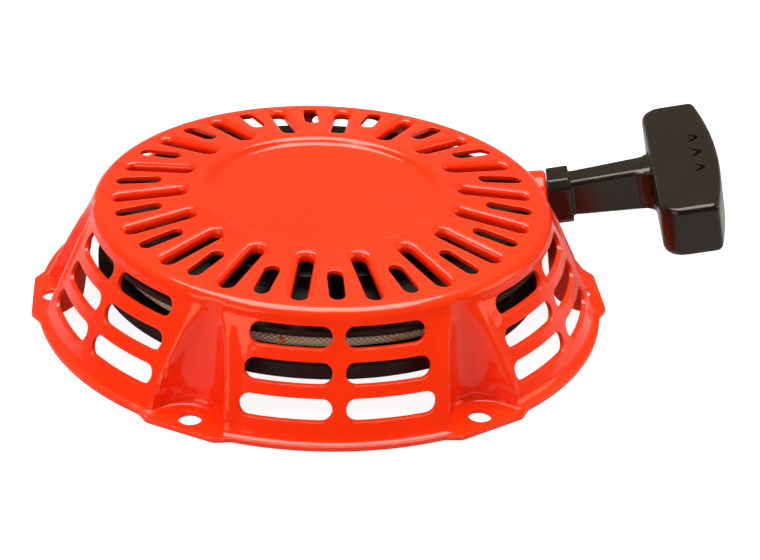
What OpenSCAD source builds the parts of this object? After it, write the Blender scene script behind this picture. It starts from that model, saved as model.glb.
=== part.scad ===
// Recoil starter for a small engine: a stamped steel cover with a rope reel, a flat recoil
// spring, two pawls with their guide, and a pull handle on a rope.
// Origin: centre of the bolt circle on the seating face. +Z points out through the cover's top,
// and +X is the direction, seen from above, in which the rope is pulled.

/* [Cover] */
// How far the flange ring reaches beyond the bolt circle
flange_margin = 5.3; // [4:0.1:8]
// Thickness of the cover's sheet steel
sheet_t = 1.5; // [1:0.1:2]
// Height of the crown, the highest ring of the cover's top
crown_z = 42.5; // [40:0.5:48]
// Radius of the crown ring around the centre dish
crown_r = 41.5; // [38:0.5:43]
// Depth of the centre dish
dish_depth = 2.2; // [1:0.1:3]
// How far the shoulder, where the top turns down, lies inside the wall
shoulder_in = 2.65; // [2:0.05:4]
// How far the top falls from the crown to the shoulder
top_fall = 3.8; // [2:0.1:5]
// Lean of the wall: millimetres inward for each millimetre up
wall_lean = 0.5; // [0.4:0.01:0.55]

/* [Bolt ears] */
// Number of bolt ears around the flange
ear_count = 6; // [6:1:6]
// Diameter of the bolt circle
bolt_circle_d = 183.4; // [180:0.2:188]
// Diameter of each bolt hole
bolt_hole_d = 7.6; // [6.4:0.1:9]
// Angle of the first ear from +X
ear_angle = 6.5; // [0:0.5:12]
// How far the flat outer edge of an ear lies beyond the bolt circle
ear_margin = 6.9; // [6:0.1:10]
// Width of that outer edge
ear_w = 24; // [20:0.5:28]

/* [Vents] */
// Number of slots around the top, long and short in turn
top_slots = 36; // [36:12:36]
// Width of a long slot's opening
long_slot_w = 5; // [4:0.1:5.4]
// Width of a short slot
short_slot_w = 5.2; // [4:0.1:6]
// Depth of the drawn collar around a long slot
slot_collar_h = 3.4; // [2:0.1:4]
// Height of a side slot, measured up the wall's axis
side_slot_h = 6.6; // [5:0.1:7.5]
// Height of the lowest row of side slots, at its middle
side_row_z = 10.5; // [9:0.5:12]
// Rise from one row of side slots to the next
side_row_step = 10.05; // [9:0.05:10.5]
// Angle of the web between the two side slots of a panel
side_web_deg = 2.8; // [2:0.1:4]
// Angle that one side slot spans
side_slot_deg = 18.6; // [14:0.1:19]

/* [Rope and outlet] */
// Diameter of the starter rope
rope_d = 5; // [4:0.1:5.5]
// Turns of rope stored on the reel
rope_turns = 4; // [3:1:5]
// Sideways offset of the pull line from the reel's axis
pull_offset = 41.2; // [40:0.1:46]
// How far the outlet's face lies inside the flange's edge, along the pull
outlet_inset = 17.4; // [13:0.1:19]
// Height of the middle of the outlet's face
outlet_z = 22.8; // [20:0.1:24]
// Upward tilt of the pull line
pull_pitch = 12.5; // [8:0.5:16]
// Outer radius of the outlet boss at its face
outlet_r = 9.6; // [9.4:0.1:11]

/* [Handle] */
// Length of the grip
grip_l = 85; // [78:1:100]
// Thickness of the grip
grip_h = 18.2; // [15:0.5:22]
// Depth of the grip at its middle, along the pull
grip_mid_w = 23.8; // [22:0.5:28]
// Depth of the grip at its ends
grip_end_w = 19.6; // [14:0.1:20]
// Length of the stem between the collar and the grip
stem_l = 29; // [25:0.5:36]
// Length of the collar that seats on the outlet
collar_l = 7.8; // [6:0.2:10]
// Width of the collar
collar_w = 16.4; // [15:0.1:20]
// Height of the collar
collar_h = 17.6; // [16:0.1:20]

/* [Reel] */
// Outer radius of the reel's flanges
reel_r = 76; // [70:0.5:77]
// Height of the reel's lowest edge
reel_z = 13.2; // [12:0.1:15]
// Height of the floor of the rope groove
groove_z = 18.2; // [17:0.1:20]
// Clearance on each side of the rope in its groove
groove_play = 2.6; // [0.4:0.1:3]
// Thickness of a reel flange
reel_flange_t = 2; // [1.6:0.1:2.5]
// Radius of the post's bearing
journal_r = 7; // [6:0.1:8]
// Radial clearance of a running fit
running_fit = 0.05; // [0.02:0.01:0.1]

/* [Recoil spring] */
// Number of turns of the recoil spring
spring_turns = 9; // [7:1:11]
// Thickness of the spring strip, drawn thicker than the real strip
spring_t = 0.9; // [0.6:0.1:1.2]
// Width of the spring strip
spring_w = 12; // [9:0.5:13]

/* [Pawls] */
// Distance of a pawl's pivot from the reel's axis
pawl_pivot_r = 19; // [18:0.5:20]
// Length of a pawl from its pivot to its tip
pawl_l = 21; // [19:0.5:22]
// Width of a pawl
pawl_w = 7; // [6:0.1:7.5]
// Thickness of a pawl
pawl_t = 3.4; // [3:0.1:3.5]
// Angle through which a pawl swings out
pawl_swing = 28; // [20:1:30]
// Angle through which the guide lags behind the reel
guide_lag = 30; // [20:1:32]
// Distance from a pawl's pivot to its peg
peg_arm = 12; // [11:0.5:13]
// Radius of a pawl's peg
peg_r = 1.5; // [1.2:0.1:1.8]
// Radius of the ratchet guide
guide_r = 30; // [29.8:0.1:31]

/* [Hidden] */
$fn = 64;
far = 300;
cut = 1;
ear_step = 360 / ear_count;
slot_step = 360 / top_slots;
rope_r = rope_d / 2;

// Cover outline, from the bolt circle outwards and then up
flange_r = bolt_circle_d / 2 + flange_margin;
ear_edge_r = bolt_circle_d / 2 + ear_margin;
wall_foot_r = flange_r - 1.5;
shoulder_z = crown_z - top_fall;
shoulder_r = wall_foot_r - wall_lean * shoulder_z - shoulder_in;
outlet_x = flange_r - outlet_inset;
shoulder_bend = 4.2;
dish_z = crown_z - dish_depth;
dish_bend = 3.2;
dish_run = dish_depth + 2 * dish_bend * (sqrt(2) - 1);
wall_top_z = shoulder_z - shoulder_bend;
foot_bend = 2;

// Bolt ear pocket: a cone leaning in with the wall
ear_hole_r = bolt_circle_d / 2;
pocket_foot_r = 13.2;
pocket_top_r = 6.2;
pocket_foot_at = ear_hole_r + 4.6;
pocket_top_at = pocket_foot_at - 12.4;
pocket_h = wall_top_z + 0.5;
ear_corner = 5;

// Slots of the top
long_slot_in = crown_r + 4.6;
long_slot_out = shoulder_r - 2.9;
short_slot_in = long_slot_in + 9;
short_slot_out = shoulder_r - 2.6;
collar_wall = 1.2;
punch_z = shoulder_z - slot_collar_h - 4;

// Reel levels, from the rope groove outwards
groove_h = rope_d + 2 * groove_play;
upper_flange_z = groove_z + groove_h;
upper_flange_top = upper_flange_z + reel_flange_t;
lower_flange_z = groove_z - reel_flange_t;
rope_pitch = rope_d + 0.1;
coil_out_r = reel_r - 3.5 - rope_r;
coil_in_r = coil_out_r - (rope_turns - 1) * rope_pitch - 0.1;
drum_r = coil_in_r - rope_r - rope_pitch / 2 - 0.2;
drum_wall = 8;
cavity_r = drum_r - drum_wall;
cavity_z = groove_z + 3.5;
drum_top_z = cavity_z + spring_w + 1.5;
skirt_t = 2;
hub_r = 31.5;
hub_z = lower_flange_z - 1.5;
bush_t = 2;
bush_r = journal_r + running_fit + bush_t;
rope_z = groove_z + groove_h / 2;

// Post
post_r = 10;
post_end_z = hub_z - 0.1;
post_step_z = cavity_z + 0.8;
post_top_z = dish_z - sheet_t;
screw_r = 3;
thread_depth = 14;

// Pawl stack, from the hub downwards
pawl_top_z = hub_z - 0.2;
pawl_z = pawl_top_z - pawl_t;
pawl_play = 0.15;
post_pin_r = 2.6;
guide_t = 1.9;
guide_top_z = pawl_z - 0.3;
guide_z = guide_top_z - guide_t;
guide_bore_r = 4.6;
peg_play = 0.3;
seat_t = 0.8;
friction_h = 3;
seat_top_z = guide_z - friction_h - 0.1;
head_top_z = seat_top_z - seat_t;
head_h = 3.4;
head_r = 7.6;
shoulder_pin_r = 4.5;
washer_t = 0.5;
washer_top_z = post_end_z;
wire_r = 0.45;

// Rope route inside the cover
mouth_back = 8;
mouth_azimuth = atan2(pull_offset, outlet_x - mouth_back * cos(pull_pitch));
mouth_r = norm([pull_offset, outlet_x - mouth_back * cos(pull_pitch)]);
coil_end_deg = mouth_azimuth + acos(coil_out_r / mouth_r);
coil_exit = [cos(coil_end_deg) * coil_out_r, sin(coil_end_deg) * coil_out_r, rope_z];
bore_play = 0.7;
rope_joint = 1.5;

// Handle, along the pull line from the outlet's face
seat_gap = 0.3;
collar_bevel = 3;
grip_at = seat_gap + collar_l + stem_l;
knot_r = 4.2;
knot_pocket_r = 6;
knot_pocket_l = 12;
knot_at = grip_at + grip_mid_w - knot_pocket_l;
knot_washer_t = 1;
stem_w0 = collar_w - 5.8;
stem_h0 = collar_h - 4;
stem_w1 = stem_w0 + 2.4;
stem_h1 = grip_h - 1.8;
stem_bevel = 1.3;
stem_fillet = 5;
grip_round = 2.2;
mark_depth = 0.5;

// Points along an arc of radius r around c, from angle a to angle b, in n steps
function arc(c, r, a, b, n) =
    [for (i = [0:n]) c + r * [cos(a + (b - a) * i / n), sin(a + (b - a) * i / n)]];

// Unit normal on the left of the line from p to q
function left_of(p, q) = let (d = q - p) [-d[1], d[0]] / norm(d);

// An open outline moved sideways by t, with mitred corners
function inset(p, t) = [
    for (i = [0:len(p) - 1])
        let (
            a = left_of(p[max(i - 1, 0)], p[max(i, 1)]),
            b = left_of(p[min(i, len(p) - 2)], p[min(i + 1, len(p) - 1)])
        )
        p[i] + t * (a + b) / (1 + a * b)
];

// The wall's outer radius at height z
function wall_r(z) = wall_foot_r - wall_lean * z;

// The cover's outer skin from the axis to the flange edge, as [radius, height]
lean_deg = atan(wall_lean);
top_deg = atan(top_fall / (shoulder_r - crown_r));
skin = concat(
    [[0, dish_z]],
    arc([crown_r - dish_run, dish_z + dish_bend], dish_bend, -90, -45, 3),
    arc([crown_r, crown_z - dish_bend], dish_bend, 135, 90 - top_deg, 3),
    arc([wall_r(wall_top_z) - shoulder_bend, shoulder_z - shoulder_bend],
        shoulder_bend, 90 - top_deg, lean_deg, 4),
    [[wall_r(foot_bend + sheet_t), foot_bend + sheet_t]],
    [[wall_r(sheet_t) + 0.6, sheet_t], [flange_r, sheet_t]]
);

// A round tube of radius r swept along the points in path
module sweep(path, r, sides = 8) {
    n = len(path);
    ring = function (i) let (
        t = path[min(i + 1, n - 1)] - path[max(i - 1, 0)],
        d = t / norm(t),
        side = abs(d[2]) < 0.9 ? cross([0, 0, 1], d) : cross([1, 0, 0], d),
        u = side / norm(side),
        v = cross(d, u)
    ) [for (k = [0:sides - 1])
        path[i] + r * (cos(360 * k / sides) * u + sin(360 * k / sides) * v)];
    polyhedron(
        points = [for (i = [0:n - 1]) each ring(i)],
        faces = concat(
            [[for (k = [0:sides - 1]) k]],
            [for (i = [0:n - 2]) for (k = [0:sides - 1])
                let (a = i * sides + k, b = i * sides + (k + 1) % sides)
                [a, a + sides, b + sides, b]],
            [[for (k = [sides - 1:-1:0]) (n - 1) * sides + k]]
        )
    );
}

// A flat plate with round ends, from x0 to x1 and w wide
module stadium(x0, x1, w, h) {
    linear_extrude(height = h) {
        translate([x0 + w / 2, -w / 2]) square([x1 - x0 - w, w]);
        for (x = [x0 + w / 2, x1 - w / 2]) translate([x, 0]) circle(r = w / 2);
    }
}

// Places its children on the pull line: X along the pull, from the outlet's face
module on_pull_line() {
    translate([outlet_x, pull_offset, outlet_z]) rotate([0, -pull_pitch, 0]) children();
}

// A point at distance x along the pull line
function pull_point(x) =
    [outlet_x + x * cos(pull_pitch), pull_offset, outlet_z + x * sin(pull_pitch)];

// ---------- Cover ----------

// The cone that a bolt ear's pocket is pressed to, grown by g
module pocket(g, floor_z) {
    reach = pocket_foot_at - pocket_top_at;
    intersection() {
        translate([pocket_foot_at, 0, 0]) rotate([0, -atan(reach / pocket_h), 0])
            translate([0, 0, -10])
                cylinder(h = pocket_h + 10 + g,
                    r1 = pocket_foot_r + g + 10 * (pocket_foot_r - pocket_top_r) / pocket_h,
                    r2 = pocket_top_r + g);
        translate([0, -far / 2, floor_z]) cube([far, far, far]);
    }
}

// The flat pad of a bolt ear, seen from above
module ear_pad(h) {
    half = ear_w / 2;
    linear_extrude(height = h) polygon([
        [wall_foot_r - 8, -half - ear_corner], [flange_r - 1.6, -half - ear_corner],
        [ear_edge_r, -half], [ear_edge_r, half],
        [flange_r - 1.6, half + ear_corner], [wall_foot_r - 8, half + ear_corner]
    ]);
}

module ears() {
    for (i = [0:ear_count - 1]) rotate([0, 0, ear_angle + i * ear_step]) children();
}

// The outlet boss flares from its face into the cover; drawn in by t and cut back by face
module outlet_boss(t, face) {
    reach = 45;
    flare = 0.09;
    on_pull_line() translate([-reach, 0, 0]) rotate([0, 90, 0])
        cylinder(h = reach - face, r1 = outlet_r - t + flare * reach,
            r2 = outlet_r - t + flare * face);
}

module cover_outside() {
    difference() {
        union() {
            rotate_extrude() polygon(concat(skin, [[flange_r, 0], [0, 0]]));
            ears() ear_pad(sheet_t);
            outlet_boss(0, 0);
        }
        ears() pocket(0, sheet_t);
        translate([-far / 2, -far / 2, -far]) cube([far, far, far]);
    }
}

// A cylinder of length l and radius r along X
module cylinder_x(l, r) {
    rotate([0, 90, 0]) cylinder(h = l, r = r);
}

module cover_inside() {
    inner = inset(skin, -sheet_t);
    last = len(inner) - 3;
    difference() {
        union() {
            rotate_extrude() polygon(concat(
                [[0, inner[0][1]]],
                [for (i = [1:last]) inner[i]],
                [[wall_r(0) - sheet_t - 0.6, 0], [wall_r(0) - sheet_t - 0.6, -cut], [0, -cut]]
            ));
            outlet_boss(sheet_t, sheet_t);
        }
        ears() pocket(sheet_t, 0);
    }
}

// The band of metal that the slots' collars are drawn from, under the sloping top
module collar_band() {
    slope = top_fall / (shoulder_r - crown_r);
    r0 = crown_r + 1;
    r1 = shoulder_r;
    z0 = crown_z - slope - sheet_t / 2;
    z1 = shoulder_z - sheet_t / 2;
    rotate_extrude() polygon([
        [r0, z0], [r1, z1],
        [r1, z1 - slot_collar_h], [r0, z0 - slot_collar_h]
    ]);
}

module long_slots() {
    for (i = [0:2:top_slots - 1]) rotate([0, 0, ear_angle + i * slot_step]) children();
}

module short_slots() {
    for (i = [1:2:top_slots - 1]) rotate([0, 0, ear_angle + i * slot_step]) children();
}

// One side slot: a flat round-ended punch w wide, driven in along the wall's radius
module side_slot(mid, w, z) {
    r = side_slot_h / 2;
    rotate([0, 0, mid]) translate([wall_r(z) - 14, 0, z]) rotate([90, 0, 90])
        linear_extrude(height = 28) {
            square([w - 2 * r, 2 * r], center = true);
            for (s = [-1, 1]) translate([s * (w / 2 - r), 0]) circle(r = r);
        }
}

module side_slots() {
    outlet_panel = 0;
    for (i = [0:ear_count - 1]) {
        mid = ear_angle + (i + 0.5) * ear_step;
        for (row = [0:2]) for (side = [-1, 1])
            if (!(i == outlet_panel && side == -1)) {
                z = side_row_z + row * side_row_step;
                side_slot(mid + side * (side_web_deg + side_slot_deg) / 2,
                    2 * wall_r(z) * sin(side_slot_deg / 2), z);
            }
    }
}

module housing() {
    color("orangered") difference() {
        union() {
            difference() {
                cover_outside();
                cover_inside();
            }
            intersection() {
                collar_band();
                long_slots() translate([0, 0, punch_z])
                    stadium(long_slot_in - collar_wall, long_slot_out + collar_wall,
                        long_slot_w + 2 * collar_wall, crown_z);
            }
        }
        long_slots() translate([0, 0, punch_z])
            stadium(long_slot_in, long_slot_out, long_slot_w, crown_z);
        short_slots() translate([0, 0, punch_z])
            stadium(short_slot_in, short_slot_out, short_slot_w, crown_z);
        side_slots();
        ears() translate([ear_hole_r, 0, -cut])
            cylinder(h = sheet_t + 2 * cut, r = bolt_hole_d / 2);
        on_pull_line() translate([-sheet_t - cut, 0, 0])
            cylinder_x(sheet_t + 2 * cut, guide_neck_r);
    }
}

// ---------- Rope guide ----------
guide_neck_r = 6;
guide_lip_r = 7.6;
guide_lip_t = 1.8;
eyelet_r = rope_r + bore_play;

// The eyelet is drawn as a turned profile: distance along the pull, then radius
module rope_guide() {
    inner_end = -sheet_t - guide_lip_t - 1.4;
    color("dimgray") on_pull_line() rotate([0, 90, 0]) rotate_extrude() polygon(concat(
        [[eyelet_r, 0], [guide_neck_r, 0]],
        [[guide_neck_r, -sheet_t], [guide_lip_r, -sheet_t]],
        [[guide_lip_r, -sheet_t - guide_lip_t], [guide_neck_r, inner_end]],
        [[eyelet_r + 1.4, inner_end]],
        arc([eyelet_r + 1.4, inner_end + 1.4], 1.4, 225, 180, 3)
    ));
}

// ---------- Post ----------
module center_post() {
    color("silver") difference() {
        union() {
            translate([0, 0, post_step_z]) cylinder(h = post_top_z - post_step_z, r = post_r);
            translate([0, 0, post_end_z]) cylinder(h = post_step_z - post_end_z, r = journal_r);
            translate([0, 0, post_top_z - 2]) cylinder(h = 2, r = post_r + 5);
        }
        translate([0, 0, post_end_z - cut]) cylinder(h = thread_depth + cut, r = screw_r);
        // Slot that holds the spring's inner end
        rotate([0, 0, spring_in_deg]) translate([post_r - 3, -0.9, cavity_z + 0.8])
            cube([6, 1.8, spring_w + 1.4]);
    }
}

// ---------- Reel ----------
module reel() {
    rib_count = 12;
    color([0.1, 0.1, 0.1]) difference() {
        union() {
            rotate_extrude() polygon([
                [bush_r, hub_z], [hub_r, hub_z], [hub_r, lower_flange_z],
                [reel_r - skirt_t, lower_flange_z], [reel_r - skirt_t, reel_z],
                [reel_r, reel_z], [reel_r, groove_z], [drum_r, groove_z],
                [drum_r, upper_flange_z], [reel_r, upper_flange_z],
                [reel_r, upper_flange_top], [drum_r, upper_flange_top],
                [drum_r, drum_top_z], [cavity_r, drum_top_z], [cavity_r, cavity_z],
                [bush_r, cavity_z]
            ]);
            for (i = [0:rib_count - 1]) rotate([0, 0, i * 360 / rib_count])
                translate([rib_in_r, -0.8, lower_flange_z - 2.4])
                    cube([reel_r - skirt_t - rib_in_r + 0.5, 1.6, 3]);
            for (i = [0, 180]) rotate([0, 0, i])
                translate([pawl_pivot_r, 0, guide_top_z + 0.1])
                    cylinder(h = hub_z - guide_top_z, r = post_pin_r);
        }
        // Recesses for the pawls' return springs
        for (i = [0, 180]) rotate([0, 0, i]) translate([pawl_pivot_r, 0, hub_z - cut])
            difference() {
                cylinder(h = spring_recess + cut, r = 4.6);
                cylinder(h = spring_recess + cut, r = post_pin_r);
            }
        // Notch for the recoil spring's outer end
        rotate([0, 0, spring_out_deg]) translate([cavity_r - 1, -1.2, cavity_z])
            cube([3.4, 2.4, drum_top_z]);
        // Hole and pocket that hold the rope's knot
        rotate([0, 0, knot_deg]) translate([knot_seat_r, 0, 0]) {
            translate([0, 0, rope_z]) cylinder_x(drum_r, rope_r + 0.3);
            translate([0, 0, rope_z - knot_hole_r]) cylinder(h = far, r = knot_hole_r);
        }
    }
}
spring_recess = 3.6;
rib_in_r = 1.5 + norm([
    pawl_pivot_r + pawl_w / 2 * cos(pawl_swing) + pawl_l * sin(pawl_swing),
    pawl_w / 2 * sin(pawl_swing) - pawl_l * cos(pawl_swing)
]);
knot_deg = coil_end_deg + 183;
knot_ball_r = 2.6;
knot_hole_r = knot_ball_r + 0.4;
knot_seat_r = drum_r - 1 - knot_hole_r;

module reel_bushing() {
    color("goldenrod") difference() {
        translate([0, 0, hub_z]) cylinder(h = cavity_z - hub_z, r = bush_r);
        translate([0, 0, hub_z - cut])
            cylinder(h = cavity_z - hub_z + 2 * cut, r = journal_r + running_fit);
    }
}

// ---------- Recoil spring ----------
spring_in_r = post_r + 1.6;
spring_out_r = cavity_r - 1.2;
spring_in_deg = 0;
spring_out_deg = 0;
function spring_radius(a) =
    spring_in_r + (spring_out_r - spring_in_r) * a / (360 * spring_turns);

// A spiral strip with a hook at each end: into the post's slot and into the reel's notch
module recoil_spring() {
    step = 15;
    angles = [for (a = [0:step:360 * spring_turns]) a];
    side = function (s, a) (spring_radius(a) + s * spring_t / 2) * [cos(a), sin(a)];
    last = angles[len(angles) - 1];
    color("slategray") translate([0, 0, cavity_z + 0.9]) linear_extrude(height = spring_w)
        polygon(concat(
            [[post_r - 2, spring_t / 2], [post_r - 2, -spring_t / 2]],
            [[spring_in_r + spring_t, -spring_t / 2]],
            [for (a = angles) if (a > 0 && a < last) side(1, a)],
            [[spring_out_r + spring_t / 2, -spring_t], [cavity_r + 1.6, -spring_t]],
            [[cavity_r + 1.6, 0], [spring_out_r - spring_t / 2, 0]],
            [for (i = [len(angles) - 2:-1:1]) side(-1, angles[i])],
            [[spring_in_r - spring_t / 2, spring_t / 2]]
        ));
}

// ---------- Rope ----------
coil_step = 12;
function coil_point(a) = let (
    r = coil_out_r - rope_pitch * a / 360
) [r * cos(coil_end_deg + a), r * sin(coil_end_deg + a), rope_z];

module rope_coil() {
    color("wheat") sweep(
        [for (a = [0:coil_step:360 * rope_turns - 180]) coil_point(a)], rope_r);
}

module reel_knot() {
    color("wheat") rotate([0, 0, knot_deg]) translate([knot_seat_r, 0, rope_z]) {
        sphere(r = knot_ball_r);
        cylinder_x(drum_r - 0.1 - knot_seat_r, rope_r);
    }
}

// From the coil's outer turn, in through the mouth of the eyelet
module rope_lead() {
    mouth = pull_point(-mouth_back);
    back = (coil_exit - mouth) / norm(coil_exit - mouth);
    turn_in = mouth + 6 * back;
    turn_out = pull_point(-rope_joint - 1.5);
    color("wheat") sweep(concat(
        [coil_exit - 0.4 * back, 0.5 * (coil_exit + turn_in)],
        [for (t = [0:0.125:1])
            (1 - t) * (1 - t) * turn_in + 2 * t * (1 - t) * mouth + t * t * turn_out],
        [pull_point(-rope_joint - 0.8), pull_point(-rope_joint - 0.05)]
    ), rope_r, 12);
}

// From the eyelet through the handle's stem to its knot
module rope_run() {
    color("wheat") on_pull_line() translate([-rope_joint, 0, 0])
        cylinder_x(knot_at + knot_washer_t + 0.5 + rope_joint, rope_r);
}

module handle_knot() {
    color("wheat") on_pull_line() translate([knot_at + knot_washer_t + 0.6 + knot_r, 0, 0])
        sphere(r = knot_r);
}

// ---------- Handle ----------
module knot_washer() {
    color("silver") on_pull_line() translate([knot_at, 0, 0]) difference() {
        cylinder_x(knot_washer_t, knot_pocket_r - 0.3);
        translate([-cut, 0, 0]) cylinder_x(knot_washer_t + 2 * cut, rope_r + 0.1);
    }
}

// The grip seen from above, drawn in by d: straight inner face, arched outer face
function grip_outline(d) = let (
    half = grip_l / 2,
    bulge = grip_mid_w - grip_end_w,
    arch_r = (half * half + bulge * bulge) / (2 * bulge),
    centre = [grip_mid_w - arch_r, 0],
    corner_in = 7.5,
    corner_out = 2.4,
    out_y = half - corner_out,
    out_x = centre[0] + sqrt((arch_r - corner_out) * (arch_r - corner_out) - out_y * out_y),
    arch_deg = atan2(out_y, out_x - centre[0])
) concat(
    arc([corner_in, -half + corner_in], corner_in - d, 180, 270, 6),
    arc([out_x, -out_y], corner_out - d, -90, -arch_deg, 3),
    arc(centre, arch_r - d, -arch_deg, arch_deg, 16),
    arc([out_x, out_y], corner_out - d, arch_deg, 90, 3),
    arc([corner_in, half - corner_in], corner_in - d, 90, 180, 6)
);

// The grip as thin slices with drawn-in outlines at top and bottom, so its edges are round
module grip_body() {
    slice = 0.02;
    hull() for (s = [-1, 1]) for (a = [0, 30, 60, 90]) {
        d = grip_round * (1 - cos(a));
        z = grip_h / 2 - grip_round + grip_round * sin(a);
        translate([0, 0, s * z - slice / 2]) linear_extrude(height = slice)
            polygon(grip_outline(d));
    }
}

// An eight-sided outline w wide and h high, as points across the pull line at x
function octagon(x, w, h, c) = [
    for (p = [[-w / 2 + c, -h / 2], [w / 2 - c, -h / 2], [w / 2, -h / 2 + c], [w / 2, h / 2 - c],
              [w / 2 - c, h / 2], [-w / 2 + c, h / 2], [-w / 2, h / 2 - c], [-w / 2, -h / 2 + c]])
        [x, p[0], p[1]]
];

// A bar along X that changes from one eight-sided outline to another
module taper_bar(x0, w0, h0, x1, w1, h1, c) {
    polyhedron(
        points = concat(octagon(x0, w0, h0, c), octagon(x1, w1, h1, c)),
        faces = concat(
            [[0, 1, 2, 3, 4, 5, 6, 7]], [[15, 14, 13, 12, 11, 10, 9, 8]],
            [for (k = [0:7]) [k, k + 8, (k + 1) % 8 + 8, (k + 1) % 8]]
        )
    );
}

// Hollow fillets where the stem runs into the grip, seen from above
module stem_fillets() {
    y = stem_w1 / 2 - 0.1;
    f = stem_fillet;
    for (s = [-1, 1]) translate([grip_at, 0, -stem_h1 / 2 + 1]) linear_extrude(height = stem_h1 - 2)
        polygon([
            for (p = concat([[2, 0], [2, y + f]], arc([-f, y + f], f, 0, -90, 6), [[-f, 0]]))
                [p[0], s * p[1]]
        ]);
}

// Three arrowheads sunk into the grip's top face, pointing along the pull
module pull_marks() {
    for (i = [-1:1]) translate([grip_at + grip_mid_w - 9.5, i * 12, grip_h / 2 - mark_depth])
        linear_extrude(height = 2 * mark_depth)
            polygon([[0, 3.2], [1.5, 3.2], [4.5, 0], [1.5, -3.2], [0, -3.2], [3, 0]]);
}

module handle() {
    collar_end = seat_gap + collar_l;
    color([0.12, 0.12, 0.12]) on_pull_line() difference() {
        union() {
            taper_bar(seat_gap, collar_w, collar_h, collar_end, collar_w, collar_h,
                collar_bevel);
            taper_bar(collar_end - 1, stem_w0, stem_h0, grip_at + 4, stem_w1, stem_h1,
                stem_bevel);
            stem_fillets();
            translate([grip_at, 0, 0]) grip_body();
        }
        translate([-cut, 0, 0]) cylinder_x(knot_at + 2 * cut, eyelet_r);
        translate([knot_at, 0, 0]) cylinder_x(knot_pocket_l + cut, knot_pocket_r);
        pull_marks();
    }
}

// ---------- Pawls ----------

// A pawl at rest, seen from above: pivot eye, then an arm along -Y with a driving tip
module pawl() {
    half = pawl_w / 2;
    color("gray") difference() {
        union() {
            translate([0, 0, pawl_z]) cylinder(h = pawl_t, r = half + 0.6);
            translate([0, 0, pawl_z]) linear_extrude(height = pawl_t) polygon([
                [-half, 0], [-half + 0.6, -pawl_l + 3], [0.6, -pawl_l],
                [half, -pawl_l], [half, 0]
            ]);
            translate([0, -peg_arm, guide_z + 0.2]) cylinder(h = pawl_z - guide_z, r = peg_r);
        }
        translate([0, 0, pawl_z - cut])
            cylinder(h = pawl_t + 2 * cut, r = post_pin_r + running_fit);
    }
}

module pawl_a() {
    translate([pawl_pivot_r, 0, 0]) pawl();
}

module pawl_b() {
    rotate([0, 0, 180]) pawl_a();
}

// Return spring of a pawl: coils around the pivot pin, inside the reel's recess
module pawl_spring() {
    coils = 2.5;
    r = post_pin_r + 0.25 + wire_r;
    z0 = pawl_top_z + wire_r + 0.15;
    color("silver") sweep(
        [for (a = [0:24:360 * coils])
            [pawl_pivot_r + r * cos(a), r * sin(a), z0 + a / 360 * (2 * wire_r + 0.02)]],
        wire_r);
}

module pawl_spring_a() {
    pawl_spring();
}

module pawl_spring_b() {
    rotate([0, 0, 180]) pawl_spring();
}

// Where a peg lies in the guide when the guide has turned by t
function peg_in_guide(t) = let (
    f = t * pawl_swing / guide_lag,
    x = pawl_pivot_r + peg_arm * sin(f),
    y = -peg_arm * cos(f)
) [x * cos(-t) - y * sin(-t), x * sin(-t) + y * cos(-t)];

module ratchet_guide() {
    steps = 10;
    r = peg_r + peg_play;
    over = 0.06;
    path = [for (i = [0:steps]) peg_in_guide(guide_lag * ((1 + 2 * over) * i / steps - over))];
    n = len(path);
    normals = [for (i = [0:n - 1]) left_of(path[max(i - 1, 0)], path[min(i + 1, n - 1)])];
    color("darkgray") difference() {
        union() {
            translate([0, 0, guide_z]) cylinder(h = guide_t, r = guide_r);
            translate([0, 0, guide_z - 1.2]) cylinder(h = 1.2, r = guide_r - 16);
        }
        translate([0, 0, guide_z - 1.2 - cut]) cylinder(h = 10, r = guide_bore_r);
        // A ring-shaped seat for the friction spring
        translate([0, 0, guide_z - 1.2 - cut]) cylinder(h = 1.2 + cut, r = 8.6);
        for (turn = [0, 180]) rotate([0, 0, turn]) translate([0, 0, guide_z - cut]) {
            linear_extrude(height = guide_t + 2 * cut) polygon(concat(
                [for (i = [0:n - 1]) path[i] + r * normals[i]],
                [for (i = [n - 1:-1:0]) path[i] - r * normals[i]]
            ));
            for (p = [path[0], path[n - 1]]) translate(p)
                cylinder(h = guide_t + 2 * cut, r = r);
        }
    }
}

// ---------- Centre stack ----------
module friction_spring() {
    coils = 3;
    r = 6.4;
    wire = 0.5;
    lift = (friction_h - 2 * wire) / (360 * coils);
    color("silver") sweep(
        [for (a = [0:20:360 * coils])
            [r * cos(a), r * sin(a), seat_top_z + 0.05 + wire + a * lift]],
        wire);
}

module ring(z, h, r_out, r_in) {
    translate([0, 0, z]) difference() {
        cylinder(h = h, r = r_out);
        translate([0, 0, -cut]) cylinder(h = h + 2 * cut, r = r_in);
    }
}

module spring_seat() {
    color("silver") ring(seat_top_z - seat_t, seat_t, 8.4, shoulder_pin_r + 0.05);
}

module reel_washer() {
    color("silver") ring(washer_top_z - washer_t, washer_t, 11.5, screw_r + 0.1);
}

module thrust_washer() {
    color("silver") ring(cavity_z + 0.1, washer_t, post_r + 0.6, journal_r + 0.1);
}

module center_screw() {
    shoulder_top = washer_top_z - washer_t;
    color("lightgray") difference() {
        union() {
            translate([0, 0, shoulder_top]) cylinder(h = thread_depth - 2, r = screw_r - 0.05);
            translate([0, 0, head_top_z - 0.01])
                cylinder(h = shoulder_top - head_top_z + 0.01, r = shoulder_pin_r);
            translate([0, 0, head_top_z - head_h]) cylinder(h = head_h, r = head_r, $fn = 6);
            translate([0, 0, head_top_z - 1.2]) cylinder(h = 1.2, r = head_r + 0.4);
        }
        translate([-far / 2, -0.7, head_top_z - head_h - cut]) cube([far, 1.4, cut + 1.3]);
    }
}

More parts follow.
